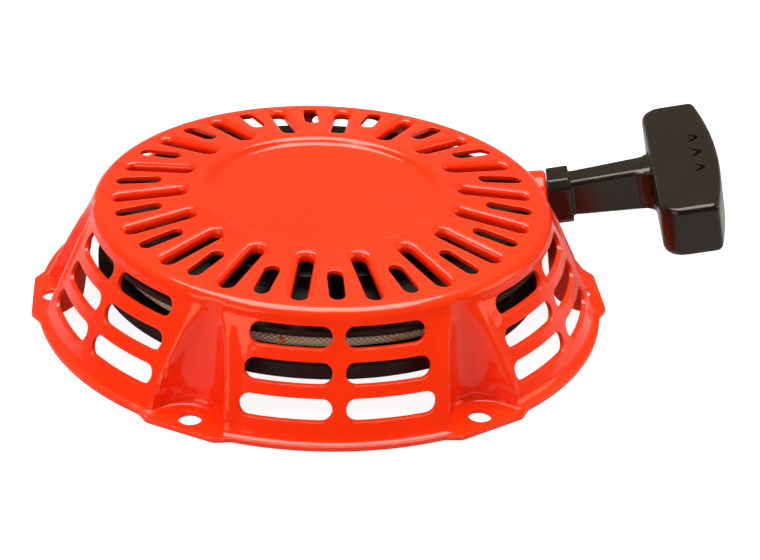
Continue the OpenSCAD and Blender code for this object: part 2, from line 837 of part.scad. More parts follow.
housing();
center_post();
rope_guide();
reel();
reel_bushing();
recoil_spring();
rope_coil();
reel_knot();
rope_lead();
rope_run();
handle_knot();
knot_washer();
handle();
pawl_a();
pawl_b();
pawl_spring_a();
pawl_spring_b();
ratchet_guide();
friction_spring();
spring_seat();
reel_washer();
thrust_washer();
center_screw();
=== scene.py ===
# %% [markdown]
# # A recoil starter, dressed for its picture
#
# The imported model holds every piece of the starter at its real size. This lesson gives those
# pieces the surfaces that they have on the bench: baked enamel on pressed steel, moulded
# plastic, braided rope, zinc plate and spring steel. Some pieces keep their mesh and get a
# better finish. Others are made again here, finer than a CAD model needs them to be.

from math import acos, atan, atan2, cos, degrees, exp, hypot, pi, radians, sin, sqrt

import bmesh
import bpy
from mathutils import Matrix, Vector


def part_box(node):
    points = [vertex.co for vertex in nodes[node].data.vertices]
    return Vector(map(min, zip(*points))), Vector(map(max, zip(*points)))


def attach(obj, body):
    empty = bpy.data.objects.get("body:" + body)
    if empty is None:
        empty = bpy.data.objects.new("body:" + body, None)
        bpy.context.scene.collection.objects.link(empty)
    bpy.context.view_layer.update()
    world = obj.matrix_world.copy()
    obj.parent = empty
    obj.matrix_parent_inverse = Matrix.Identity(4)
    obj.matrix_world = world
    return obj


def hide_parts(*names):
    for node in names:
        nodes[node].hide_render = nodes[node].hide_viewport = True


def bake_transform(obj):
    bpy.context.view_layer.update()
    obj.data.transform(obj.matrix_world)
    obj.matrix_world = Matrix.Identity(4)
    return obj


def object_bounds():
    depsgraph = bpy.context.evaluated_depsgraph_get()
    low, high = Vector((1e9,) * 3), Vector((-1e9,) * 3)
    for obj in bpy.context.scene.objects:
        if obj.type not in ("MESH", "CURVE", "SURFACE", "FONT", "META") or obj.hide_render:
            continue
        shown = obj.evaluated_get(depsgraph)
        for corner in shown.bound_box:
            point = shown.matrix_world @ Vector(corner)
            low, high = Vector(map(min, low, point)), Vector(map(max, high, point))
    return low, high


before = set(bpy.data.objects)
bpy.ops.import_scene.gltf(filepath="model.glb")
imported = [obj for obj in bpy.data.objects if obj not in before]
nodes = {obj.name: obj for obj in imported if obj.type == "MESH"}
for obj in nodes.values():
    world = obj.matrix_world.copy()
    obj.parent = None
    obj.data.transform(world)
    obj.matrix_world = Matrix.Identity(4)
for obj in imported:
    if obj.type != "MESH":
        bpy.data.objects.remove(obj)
cad_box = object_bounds()
MM = 0.001
print("nodes:", len(nodes))

# %% [markdown]
# ## Where the camera stands
#
# A camera can be aimed by hand, with a constraint, or by writing its axes straight into its
# matrix. The matrix is used here, because it holds a small roll as easily as a tilt. The
# starter stands a little left of the frame's middle, so the lens is shifted to suit.

# %% Camera
VIEW_FROM = radians(1.7)      # how far round from -Y, towards +X
VIEW_UP = radians(29.44)
VIEW_DISTANCE = 0.750
VIEW_ROLL = radians(2.05)
LENS_MM, SENSOR_MM = 102.2, 36
LENS_SHIFT = (0.0803, 0.0224)

backward = Vector((cos(VIEW_UP) * sin(VIEW_FROM), -cos(VIEW_UP) * cos(VIEW_FROM), sin(VIEW_UP)))
level = Vector((cos(VIEW_FROM), sin(VIEW_FROM), 0))
upward = backward.cross(level)
right = cos(VIEW_ROLL) * level + sin(VIEW_ROLL) * upward
over = cos(VIEW_ROLL) * upward - sin(VIEW_ROLL) * level

camera_data = bpy.data.cameras.new("camera")
camera_data.lens = LENS_MM
camera_data.sensor_width = SENSOR_MM
camera_data.shift_x, camera_data.shift_y = LENS_SHIFT
camera = bpy.data.objects.new("camera", camera_data)
bpy.context.scene.collection.objects.link(camera)
camera.matrix_world = Matrix((right, over, backward)).transposed().to_4x4()
camera.location = backward * VIEW_DISTANCE
bpy.context.scene.camera = camera
print("camera at", [round(v, 3) for v in camera.location])

# %% [markdown]
# ## The studio
#
# Gloss paint shows what stands around it, so what stands there is chosen with care. One large
# soft box overhead gives nearly all the light. The paper behind the starter lies in its
# reflection on the flat top, so it is kept dim, and the room behind the camera is dark, which
# leaves the wall's colour deep. Two smaller boxes stand low at the left and right for long
# highlights. The table glows a little, as a lit table does, so that shadows stay pale.

# %% Soft boxes
WARM = (1.0, 0.66, 0.42)
LIT_POINT = Vector((0, 0, 0.03))


def soft_box(name, azimuth, height, reach, size, radiance, color):
    """A rectangular soft light aimed at the starter, with azimuth in degrees from +X."""
    data = bpy.data.lights.new(name, "AREA")
    data.color = color
    data.shape = "RECTANGLE"
    data.size, data.size_y = size
    data.energy = radiance * pi * size[0] * size[1]
    lamp = bpy.data.objects.new(name, data)
    bpy.context.scene.collection.objects.link(lamp)
    place = Vector((reach * cos(radians(azimuth)), reach * sin(radians(azimuth)), height))
    lamp.location = place
    lamp.rotation_euler = (LIT_POINT - place).to_track_quat("-Z", "Y").to_euler()


SOFT_BOXES = (   # name, azimuth, height, reach, size, radiance, colour
    ("overhead", 100, 0.95, 0.16, (0.85, 0.75), 7.4, (1.0, 0.95, 0.88)),
    ("left_box", -133, 0.44, 0.95, (0.62, 0.52), 3.0, WARM),
    ("right_box", 4, 0.40, 1.0, (0.45, 0.45), 2.6, WARM),
    ("front_slit", -70, 0.15, 1.0, (0.5, 0.02), 1.0, WARM),
)
for box in SOFT_BOXES:
    soft_box(*box)
print("soft boxes:", len(SOFT_BOXES))

# %% Table and sky
def by_ray(tree, kinds):
    """Strengths that differ for rays from the camera, from gloss, and from the rest."""
    path = tree.nodes.new("ShaderNodeLightPath")
    value = kinds["rest"]
    for kind in ("Is Glossy Ray", "Is Camera Ray"):
        pick = tree.nodes.new("ShaderNodeMix")
        tree.links.new(path.outputs[kind], pick.inputs[0])
        for socket, part in ((2, value), (3, kinds[kind])):
            if isinstance(part, (float, int)):
                pick.inputs[socket].default_value = part
            else:
                tree.links.new(part, pick.inputs[socket])
        value = pick.outputs[0]
    return value


TABLE_HALF = 8.0
TABLE_DROP = 0.0002      # keeps the table clear of the flange

floor_mesh = bpy.data.meshes.new("floor")
corners = [(x * TABLE_HALF, y * TABLE_HALF, 0) for x, y in ((-1, -1), (1, -1), (1, 1), (-1, 1))]
floor_mesh.from_pydata(corners, [], [(0, 1, 2, 3)])
floor = bpy.data.objects.new("floor", floor_mesh)
floor.location.z = cad_box[0][2] - TABLE_DROP
bpy.context.scene.collection.objects.link(floor)

floor_paper = bpy.data.materials.new("floor_paper")
floor_paper.use_nodes = True
paper = floor_paper.node_tree.nodes["Principled BSDF"]
paper.inputs["Base Color"].default_value = (0.36, 0.36, 0.36, 1)
paper.inputs["Roughness"].default_value = 0.9
paper.inputs["Specular IOR Level"].default_value = 0.0
paper.inputs["Emission Color"].default_value = (1, 1, 1, 1)
glow = by_ray(floor_paper.node_tree, {"rest": 0.42, "Is Glossy Ray": 0.02, "Is Camera Ray": 0.90})
floor_paper.node_tree.links.new(glow, paper.inputs["Emission Strength"])
floor_mesh.materials.append(floor_paper)

sky = bpy.data.worlds.new("sky")
bpy.context.scene.world = sky
sky.use_nodes = True
background = sky.node_tree.nodes["Background"]
tint = sky.node_tree.nodes.new("ShaderNodeMix")
tint.data_type = "RGBA"
tint.inputs[6].default_value, tint.inputs[7].default_value = (1, 1, 1, 1), (1.0, 0.80, 0.58, 1)
bounce = sky.node_tree.nodes.new("ShaderNodeLightPath")
sky.node_tree.links.new(bounce.outputs["Is Glossy Ray"], tint.inputs[0])
sky.node_tree.links.new(tint.outputs[2], background.inputs["Color"])
direction = sky.node_tree.nodes.new("ShaderNodeTexCoord").outputs["Generated"]
compass = sky.node_tree.nodes.new("ShaderNodeSeparateXYZ")
sky.node_tree.links.new(direction, compass.inputs[0])
rise = sky.node_tree.nodes.new("ShaderNodeMapRange")
rise.interpolation_type = "SMOOTHSTEP"
for name, value in (("From Min", -0.1), ("From Max", 0.5), ("To Min", 0.01), ("To Max", 0.23)):
    rise.inputs[name].default_value = value
sky.node_tree.links.new(compass.outputs["Y"], rise.inputs["Value"])
glow = by_ray(sky.node_tree, {"rest": 0.34, "Is Glossy Ray": rise.outputs[0], "Is Camera Ray": 1.0})
sky.node_tree.links.new(glow, background.inputs["Strength"])
bpy.context.scene.view_settings.view_transform = "Standard"
print("table at height", round(floor.location.z, 4))

# %% [markdown]
# ## Finishes
#
# Each finish is a small tree of nodes on the piece's own coordinates. A helper keeps the
# trees short: it starts a Principled shader, and adds noise, ramps and bumps by name.

# %% Helpers for finishes
class Finish:
    """A Principled material with a few short ways to add nodes."""

    def __init__(self, name, color, roughness, metallic=0.0):
        self.material = bpy.data.materials.new(name)
        self.material.use_nodes = True
        self.tree = self.material.node_tree
        self.shader = self.tree.nodes["Principled BSDF"]
        self.set("Base Color", (*color, 1))
        self.set("Roughness", roughness)
        self.set("Metallic", metallic)
        self.where = self.tree.nodes.new("ShaderNodeTexCoord").outputs["Object"]

    def set(self, socket, value):
        """Gives one of the shader's inputs a plain value."""
        self.shader.inputs[socket].default_value = value

    def node(self, kind, **settings):
        made = self.tree.nodes.new(kind)
        for key, value in settings.items():
            setattr(made, key, value)
        return made

    def link(self, a, b):
        self.tree.links.new(a, b)

    def noise(self, scale, detail=4, stretch=None):
        """Noise with scale features to a metre, stretched by three factors if given."""
        made = self.node("ShaderNodeTexNoise")
        made.inputs["Scale"].default_value = scale
        made.inputs["Detail"].default_value = detail
        source = self.where
        if stretch:
            mapping = self.node("ShaderNodeMapping")
            mapping.inputs["Scale"].default_value = stretch
            self.link(source, mapping.inputs["Vector"])
            source = mapping.outputs["Vector"]
        self.link(source, made.inputs["Vector"])
        return made.outputs["Fac"]

    def ramp(self, value, stops):
        """Colours or greys at places between 0 and 1."""
        made = self.node("ShaderNodeValToRGB")
        band = made.color_ramp
        while len(band.elements) < len(stops):
            band.elements.new(0.5)
        for element, (place, color) in zip(band.elements, stops):
            element.position = place
            element.color = (*color, 1) if len(color) == 3 else (color[0],) * 3 + (1,)
        self.link(value, made.inputs["Fac"])
        return made.outputs["Color"]

    def mix(self, factor, a, b):
        """A colour between a and b; each may be a value or another node's output."""
        made = self.node("ShaderNodeMix", data_type="RGBA")
        for socket, value in ((0, factor), (6, a), (7, b)):
            if isinstance(value, (tuple, float, int)):
                made.inputs[socket].default_value = value
            else:
                self.link(value, made.inputs[socket])
        return made.outputs[2]

    def math(self, operation, *values):
        """One step of arithmetic on plain values or other nodes' outputs."""
        made = self.node("ShaderNodeMath", operation=operation)
        for socket, value in zip(made.inputs, values):
            if isinstance(value, (float, int)):
                socket.default_value = value
            else:
                self.link(value, socket)
        return made.outputs[0]

    def bump(self, height, depth, strength, normal=None):
        """A bump of depth metres, on top of another normal if one is given."""
        made = self.node("ShaderNodeBump")
        made.inputs["Distance"].default_value = depth
        made.inputs["Strength"].default_value = strength
        self.link(height, made.inputs["Height"])
        if normal:
            self.link(normal, made.inputs["Normal"])
        return made.outputs["Normal"]

    def rounded(self, radius):
        """Normals that shade sharp edges as if they were rounded."""
        made = self.node("ShaderNodeBevel", samples=6)
        made.inputs["Radius"].default_value = radius
        return made.outputs["Normal"]


def dress(names, finish):
    """Gives CAD nodes a finish in every material slot."""
    for name in names:
        for slot in nodes[name].material_slots:
            slot.material = finish.material


print("pieces that wait for a finish:", len(nodes))

# %% [markdown]
# ## Enamel
#
# The cover is pressed steel under a thick coat of baked orange-red enamel. Up close such a
# coat has orange peel: a fine ripple left as it flows out and cures. A clear coat over the
# colour gives the sharp, wet reflections, and the colour below stays a little deeper.

# %% Cover paint
enamel = Finish("enamel", (0.93, 0.026, 0.0006), 0.34)
enamel.set("Specular IOR Level", 0.12)
enamel.set("Coat Weight", 0.85)
enamel.set("Coat Roughness", 0.045)
enamel.set("Coat IOR", 1.5)
DEEP_COAT, THIN_COAT = (0.90, 0.025, 0.0004), (0.96, 0.034, 0.0006)
SPECK_BROWN = (0.16, 0.035, 0.008, 1)
shade = enamel.ramp(enamel.noise(16, 4), [(0.32, DEEP_COAT), (0.68, THIN_COAT)])
speck = enamel.ramp(enamel.noise(620, 2), [(0.745, (0,)), (0.775, (1,))])
speck_zone = enamel.ramp(enamel.noise(45, 2), [(0.52, (0,)), (0.60, (0.75,))])
speck = enamel.math("MULTIPLY", speck, speck_zone)
enamel.link(enamel.mix(speck, shade, SPECK_BROWN), enamel.shader.inputs["Base Color"])
peel = enamel.bump(enamel.noise(380, 3), 0.00016, 0.5, enamel.rounded(0.0006))
enamel.link(peel, enamel.shader.inputs["Normal"])
ripple = enamel.bump(enamel.noise(80, 2), 0.0007, 0.45, enamel.rounded(0.0006))
coat_peel = enamel.bump(enamel.noise(420, 2), 0.00006, 0.5, ripple)
enamel.link(coat_peel, enamel.shader.inputs["Coat Normal"])
print("enamel:", len(enamel.tree.nodes), "nodes")

# %% [markdown]
# ## The pressed cover
#
# A press draws the cover from one flat sheet, so nothing on it is truly sharp: the bolt
# pockets flow into the wall, and the metal stands a little proud beside them. The packed
# solid has the right sizes but crisp creases. The skin is therefore laid again as a fine net
# of points, one ring for each step of the profile, and each point asks a rule how far the
# press pushed it. Solidify then gives the skin its sheet thickness.

# %% The skin's profile and its pockets
SHEET = 1.5
FLANGE_R, WALL_FOOT_R, WALL_LEAN = 97.0, 95.5, 0.5
CROWN_R, CROWN_Z, DISH_DEPTH, DISH_BEND = 41.5, 42.5, 2.2, 3.2
SHOULDER_R, SHOULDER_Z, SHOULDER_BEND = 73.5, 38.7, 4.2
EAR_ANGLE, EAR_HOLE_R, EAR_EDGE_R, EAR_HALF_W, EAR_CORNER = 6.5, 91.7, 98.6, 12.0, 5.0
POCKET_FOOT, POCKET_TOP, POCKET_H = (96.3, 13.2), (83.9, 6.2), 35.0
RIDGE_H, RIDGE_AT, RIDGE_W, RIDGE_RISE, RIDGE_FADE = 0.9, 1.6, 2.2, 9, 8
POCKET_SOFT, PRESSED_DEEP = 1.8, 2
EAR_BLEND = 1.6
WALL_STOP = 3.6           # the straight wall ends here, above the bend at its foot


def wall_r(z):
    """The wall's distance from the axis at height z."""
    return WALL_FOOT_R - WALL_LEAN * z


def bend(center, radius, start, stop, steps):
    """Points on an arc, with angles in degrees, as (radius, height)."""
    turns = [radians(start + (stop - start) * i / steps) for i in range(steps + 1)]
    return [(center[0] + radius * cos(t), center[1] + radius * sin(t)) for t in turns]


def skin_profile():
    """The cover's outer skin from near its centre down to the wall's foot, in millimetres."""
    dish_z = CROWN_Z - DISH_DEPTH
    run = DISH_DEPTH + 2 * DISH_BEND * (sqrt(2) - 1)
    fall = atan((CROWN_Z - SHOULDER_Z) / (SHOULDER_R - CROWN_R))
    lean = atan(WALL_LEAN)
    points = [(r, dish_z) for r in (6, 16, 26, 33)]
    points += bend((CROWN_R - run, dish_z + DISH_BEND), DISH_BEND, -90, -45, 5)
    points += bend((CROWN_R, CROWN_Z - DISH_BEND), DISH_BEND, 135, 90 - degrees(fall), 6)
    slope_in = points[-1]
    bend_z = SHOULDER_Z - SHOULDER_BEND
    round_over = bend((wall_r(bend_z) - SHOULDER_BEND, bend_z),
                      SHOULDER_BEND, 90 - degrees(fall), degrees(lean), 9)
    for i in range(1, 11):
        s = i / 11
        points.append((slope_in[0] + s * (round_over[0][0] - slope_in[0]),
                       slope_in[1] + s * (round_over[0][1] - slope_in[1])))
    points += round_over
    top = round_over[-1][1]
    heights = [top + (WALL_STOP - top) * i / 24 for i in range(1, 25)]
    points += [(wall_r(z), z) for z in heights]
    return points


def pocket_cone(z):
    """A bolt pocket's cone at height z: how far out its axis lies, and its radius."""
    s = min(z, POCKET_H) / POCKET_H
    return tuple(foot + s * (top - foot) for foot, top in zip(POCKET_FOOT, POCKET_TOP))


def pocket_r(off, z):
    """How far from the axis a bolt pocket's floor lies, off degrees from its ear, or None."""
    middle, radius = pocket_cone(z)
    across = middle * sin(radians(off))
    if abs(across) >= radius:
        return None
    return middle * cos(radians(off)) - sqrt(radius * radius - across * across)


def pressed_r(r, z, off):
    """The skin's distance from the axis once its pockets and soft ridges are pressed."""
    middle, radius = pocket_cone(z)
    edge = sqrt(max(radius * radius - (r - middle) ** 2, 0))
    past = abs(r * sin(radians(off))) - edge
    fade = max(0.0, min(1.0, (POCKET_H + 1 - z) / RIDGE_FADE)) * min(1.0, z / RIDGE_RISE)
    ridge = RIDGE_H * fade * exp(-((past - RIDGE_AT) / RIDGE_W) ** 2)
    floor_at = pocket_r(off, z)
    if floor_at is None:
        return r + ridge
    gap = max(POCKET_SOFT - abs(r - floor_at), 0) / POCKET_SOFT
    if floor_at >= r - PRESSED_DEEP:
        floor_at, ridge = min(r, floor_at), 0.6 * ridge
    else:
        ridge = 0
    return floor_at - gap * gap * POCKET_SOFT / 4 + ridge


def outline_r(off):
    """The flange's edge, off degrees from the nearest ear."""
    a = radians(abs(off))
    flat = EAR_EDGE_R / cos(a)
    fall_x = EAR_EDGE_R - FLANGE_R + EAR_BLEND
    slanted = EAR_CORNER * EAR_EDGE_R + fall_x * EAR_HALF_W
    slanted /= EAR_CORNER * cos(a) + fall_x * sin(a)
    return max(FLANGE_R, min(flat, slanted))


print("profile:", len(skin_profile()), "rings down to", WALL_STOP, "mm above the bench")

# %% [markdown]
# ## Laying the net
#
# Faces need their corners in a steady order, so every net here is made of rings of points
# that follow one another. Closed tools are turned outwards before they're used, since a
# boolean needs to know which side of a face is solid.

# %% Lay the skin
def from_ear(angle):
    """Degrees from the nearest ear, from -30 to 30."""
    return (angle - EAR_ANGLE + 30) % 60 - 30


def mesh_object(name, points, faces):
    """A mesh object at the origin, from points in millimetres."""
    mesh = bpy.data.meshes.new(name)
    mesh.from_pydata([tuple(MM * v for v in p) for p in points], [], faces)
    mesh.validate()
    made = bpy.data.objects.new(name, mesh)
    bpy.context.scene.collection.objects.link(made)
    return made


def outward(made):
    """Turns every face of a closed mesh outwards."""
    shape = bmesh.new()
    shape.from_mesh(made.data)
    bmesh.ops.remove_doubles(shape, verts=shape.verts, dist=1e-7)
    bmesh.ops.recalc_face_normals(shape, faces=shape.faces)
    shape.to_mesh(made.data)
    shape.free()
    return made


def baked(made):
    """Applies the object's modifiers, which leaves it with a plain mesh."""
    shown = made.evaluated_get(bpy.context.evaluated_depsgraph_get())
    mesh = bpy.data.meshes.new_from_object(shown)
    made.modifiers.clear()
    made.data = mesh


FOOT_RINGS = ((0.7, 2.3), (1.7, 1.62))      # the bend at the wall's foot: how far out, height
FLANGE_IN = 2.6                             # where the flat flange starts, outside the foot
PRESSED_FROM, EDGE_GAP = 70, 0.05


def ring_faces(rings, columns, first):
    """Quads between rings of points that are stored one ring after another."""
    faces = []
    for near in range(first, first + (rings - 1) * columns, columns):
        far = near + columns
        for k in range(columns):
            after = (k + 1) % columns
            faces.append((near + k, far + k, far + after, near + after))
    return faces


def lay_skin(columns=576):
    """The outer skin as one net, from a point at the centre to the flange's edge."""
    rows = skin_profile()
    angles = [360 * k / columns for k in range(columns)]
    points = [(0, 0, rows[0][1])]

    def put(distances, z):
        for r, a in zip(distances, angles):
            points.append((r * cos(radians(a)), r * sin(radians(a)), z))

    for r, z in rows:
        put([pressed_r(r, z, from_ear(a)) if r > PRESSED_FROM else r for a in angles], z)
    foot = [hypot(x, y) for x, y, z in points[-columns:]]
    edges = [outline_r(from_ear(a)) for a in angles]
    for spread, z in FOOT_RINGS:
        put([min(r + spread, edge - EDGE_GAP) for r, edge in zip(foot, edges)], z)
    flat_from = [r + FLANGE_IN for r in foot]
    for share in (0, 0.5, 1):
        put([min(r + (edge - r) * share, edge) for r, edge in zip(flat_from, edges)], SHEET)
    faces = [(0, 1 + k, 1 + (k + 1) % columns) for k in range(columns)]
    faces += ring_faces(len(points) // columns, columns, 1)
    return mesh_object("cover_skin", points, faces)


def made_size(made):
    """A piece's count of faces and its size in millimetres, for printing."""
    size = [round(v / MM, 1) for v in made.dimensions]
    return f"{len(made.data.polygons)} faces, {size} mm"


cover = lay_skin()
sheet = cover.modifiers.new("sheet", "SOLIDIFY")
sheet.thickness = SHEET * MM
sheet.offset = -1
sheet.use_even_offset = True
baked(cover)
print("cover skin:", made_size(cover))

# %% [markdown]
# ## Punching the vents
#
# The real cover is punched after it is drawn. Boolean modifiers do the same: each group of
# punches is one closed mesh, and a difference takes it out of the sheet in one go. The
# closed mesh is made of prisms, and a prism only needs a flat outline and a rule that says
# where each point of the outline goes.

# %% Punches
def merged(name, parts):
    """Several lists of (points, faces) as one mesh object."""
    points, faces = [], []
    for more_points, more_faces in parts:
        base = len(points)
        points += more_points
        faces += [tuple(base + v for v in f) for f in more_faces]
    return outward(mesh_object(name, points, faces))


def prism(outline, place):
    """A closed prism: outline points at depth 0 and 1, each placed by place(u, v, depth)."""
    n = len(outline)
    points = [place(u, v, d) for d in (0, 1) for u, v in outline]
    faces = [tuple(range(n)), tuple(range(2 * n - 1, n - 1, -1))]
    faces += [(k, k + n, (k + 1) % n + n, (k + 1) % n) for k in range(n)]
    return points, faces


def round_ended(x0, x1, width, steps=10):
    """A flat outline with round ends, from x0 to x1."""
    r = width / 2
    ends = [(x1 - r, -90), (x0 + r, 90)]
    return [(x + r * cos(radians(a + 180 * i / steps)), r * sin(radians(a + 180 * i / steps)))
            for x, a in ends for i in range(steps + 1)]


def turned(u, v, z, angle):
    """The point (u, v, z) turned by angle degrees round the axis."""
    c, s = cos(radians(angle)), sin(radians(angle))
    return (u * c - v * s, u * s + v * c, z)


def through_top(angle):
    """Places a punch that goes down through the top at an angle round the axis."""
    return lambda u, v, depth: turned(u, v, TOP_PUNCH[0] + TOP_PUNCH[1] * depth, angle)


def through_ear(angle):
    """Places a punch that goes up through an ear."""
    return lambda u, v, depth: turned(u, v, BOLT_PUNCH[0] + BOLT_PUNCH[1] * depth, angle)


def through_wall(angle, z):
    """Places a punch that goes out through the wall at height z."""
    start = wall_r(z) + SIDE_PUNCH[0]
    return lambda u, v, depth: turned(start + SIDE_PUNCH[1] * depth, u, z + v, angle)


LONG_SLOT = (46.1, 70.6, 5.0)               # where a slot starts, where it ends, and its width
SHORT_SLOT = (55.1, 70.9, 5.2)
LIP_ROLL = 1.6
SIDE_SLOT_H, SIDE_ROWS = 6.6, (10.5, 20.55, 30.6)
SIDE_WEB, SIDE_SPAN = 2.8, 18.6             # degrees between two slots, and along one
BOLT_HOLE_R = 3.8
TOP_PUNCH, BOLT_PUNCH, SIDE_PUNCH = (30, 20), (-3, 8), (-14, 28)   # start and length of each

punches = []
for i in range(36):
    slot_at = EAR_ANGLE + 10 * i
    x0, x1, w = LONG_SLOT if i % 2 == 0 else SHORT_SLOT
    grow = LIP_ROLL if i % 2 == 0 else 0
    outline = round_ended(x0 - grow, x1 + grow, w + 2 * grow)
    punches.append(prism(outline, through_top(slot_at)))
bolt_hole = [(EAR_HOLE_R + BOLT_HOLE_R * cos(radians(a)), BOLT_HOLE_R * sin(radians(a)))
             for a in range(0, 360, 10)]
for ear in range(6):
    punches.append(prism(bolt_hole, through_ear(EAR_ANGLE + 60 * ear)))
    for side in (-1, 1):
        if ear == 0 and side == -1:
            continue                      # the rope's outlet takes this place
        for z in SIDE_ROWS:
            wide = 2 * wall_r(z) * sin(radians(SIDE_SPAN / 2))
            slot_at = EAR_ANGLE + 60 * ear + 30 + side * (SIDE_WEB + SIDE_SPAN) / 2
            outline = round_ended(-wide / 2, wide / 2, SIDE_SLOT_H)
            punches.append(prism(outline, through_wall(slot_at, z)))
punch = merged("punches", punches)
print("punches:", len(punches))

# %% [markdown]
# ## The rope's outlet
#
# The rope leaves through a short boss that flares towards the cover. Its axis is the pull
# line, which climbs a little, so the boss is made along that line and placed by one rule.
# It is a hollow cone, first trimmed to what lies outside the cover, then joined to it.

# %% Outlet boss
OUTLET = (79.6, 41.2, 22.8)
PULL_PITCH = radians(12.5)
OUTLET_R, FLARE, EYELET_R = 9.6, 0.09, 6.0
BOSS_BACK, BOSS_ROUND, HOLLOW_BACK = -45, -1.2, -50
BOSS_RIM = ((-0.5, 0.1), (0, 0.8))        # how far along, and how much smaller the boss is there
ROOM_FROM, ROOM_DROP = 60, 0.9            # the room's top stays inside the sheet


def on_pull_line(x, y=0.0, z=0.0):
    """A point given along the pull, across it and above it, from the outlet's face."""
    return (OUTLET[0] + x * cos(PULL_PITCH) - z * sin(PULL_PITCH), OUTLET[1] + y,
            OUTLET[2] + x * sin(PULL_PITCH) + z * cos(PULL_PITCH))


def turned_solid(name, stations, place, sides=64):
    """A closed turned solid through (x, radius) stations, placed by place(x, y, z)."""
    points = [place(x, r * cos(2 * pi * k / sides), r * sin(2 * pi * k / sides))
              for x, r in stations for k in range(sides)]
    faces = [tuple(range(sides - 1, -1, -1)), tuple(range(len(points) - sides, len(points)))]
    return outward(mesh_object(name, points, faces + ring_faces(len(stations), sides, 0)))


def carve(target, operation, tool):
    """One boolean step on target, after which the tool is gone."""
    step = target.modifiers.new(operation, "BOOLEAN")
    step.operation = operation
    step.solver = "MANIFOLD"
    step.object = tool
    baked(target)
    bpy.data.objects.remove(tool)


def boss_radius(x):
    """The boss's radius x millimetres along the pull from its face."""
    return OUTLET_R - FLARE * x


outside = [(x, boss_radius(x)) for x in (BOSS_BACK, BOSS_ROUND)]
outside += [(x, OUTLET_R - less) for x, less in BOSS_RIM]
boss = turned_solid("outlet_boss", outside, on_pull_line)
hollow = [(x, boss_radius(x) - SHEET) for x in (HOLLOW_BACK, -SHEET)]
carve(boss, "DIFFERENCE", turned_solid("boss_hollow", hollow, on_pull_line))
room = [(z, r - SHEET) for r, z in skin_profile()[::-1] if r > ROOM_FROM]
room = [(-2, wall_r(0) - SHEET)] + room + [(room[-1][0], 1)]
carve(boss, "DIFFERENCE", turned_solid("cover_room", room, lambda x, y, z: (y, z, x - ROOM_DROP)))
carve(cover, "DIFFERENCE", turned_solid("boss_hollow", hollow, on_pull_line))
carve(cover, "UNION", boss)
eyelet = [(-4, EYELET_R), (2, EYELET_R)]
carve(cover, "DIFFERENCE", turned_solid("eyelet_hole", eyelet, on_pull_line))
carve(cover, "DIFFERENCE", punch)
cover.name = "pressed_cover"
for face in cover.data.polygons:
    face.use_smooth = True
cover.data.set_sharp_from_angle(angle=radians(38))
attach(cover, "cover")
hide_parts("housing")
cover.data.materials.clear()
cover.data.materials.append(enamel.material)
print("pressed cover:", made_size(cover))

# %% [markdown]
# ## Rolled lips of the long vents
#
# Every second vent is drawn as well as punched: its edge is rolled down into a smooth collar,
# which stiffens the top and catches the light. One lip is a closed band with a rounded
# section. Eighteen of them stand round the axis, so a Geometry Nodes tree turns copies of the
# one lip: change its count or its step, and the whole ring follows.

# %% One lip
LIP_DEPTH, LIP_WALL = 3.4, 1.2
ROLL_H, ROLL_SUNK, LIP_SUNK = 1.9, 0.03, 0.022
LIP_BAND = ((0, 2.6), (0, 3.15), (0.12, 3.33), (0.35, LIP_DEPTH), (LIP_WALL - 0.2, LIP_DEPTH),
            (LIP_WALL, 3.2), (LIP_WALL, 2.2))
TOP_SLOPE = (CROWN_Z - SHOULDER_Z) / (SHOULDER_R - CROWN_R)


def lip_section():
    """The lip's section as (how far outside the opening, depth below the top)."""
    rim = LIP_ROLL + 0.1
    roll = [(rim - rim * sin(radians(a)), ROLL_SUNK + ROLL_H * (1 - cos(radians(a))))
            for a in range(0, 91, 10)]
    return roll + [*LIP_BAND, (rim, 1.45)]


def lip_band():
    """One closed lip, which follows the slope of the top."""
    x0, x1, width = LONG_SLOT
    section = lip_section()
    around = []
    for end_x, start in ((x1 - width / 2, -90), (x0 + width / 2, 90)):
        for i in range(15):
            a = radians(start + 180 * i / 14)
            around.append((end_x, cos(a), sin(a)))
    points = []
    for end_x, c, s in around:
        for off, depth in section:
            reach = width / 2 + off
            x, y = end_x + reach * c, reach * s
            top = CROWN_Z - (hypot(x, y) - CROWN_R) * TOP_SLOPE - LIP_SUNK
            points.append((x, y, top - depth))
    n, m = len(section), len(around)
    faces = []
    for i in range(m):
        near, far = i * n, (i + 1) % m * n
        faces += [(near + j, near + (j + 1) % n, far + (j + 1) % n, far + j) for j in range(n)]
    return outward(mesh_object("lip", points, faces))


one_lip = lip_band()
print("one lip:", len(one_lip.data.polygons), "faces")

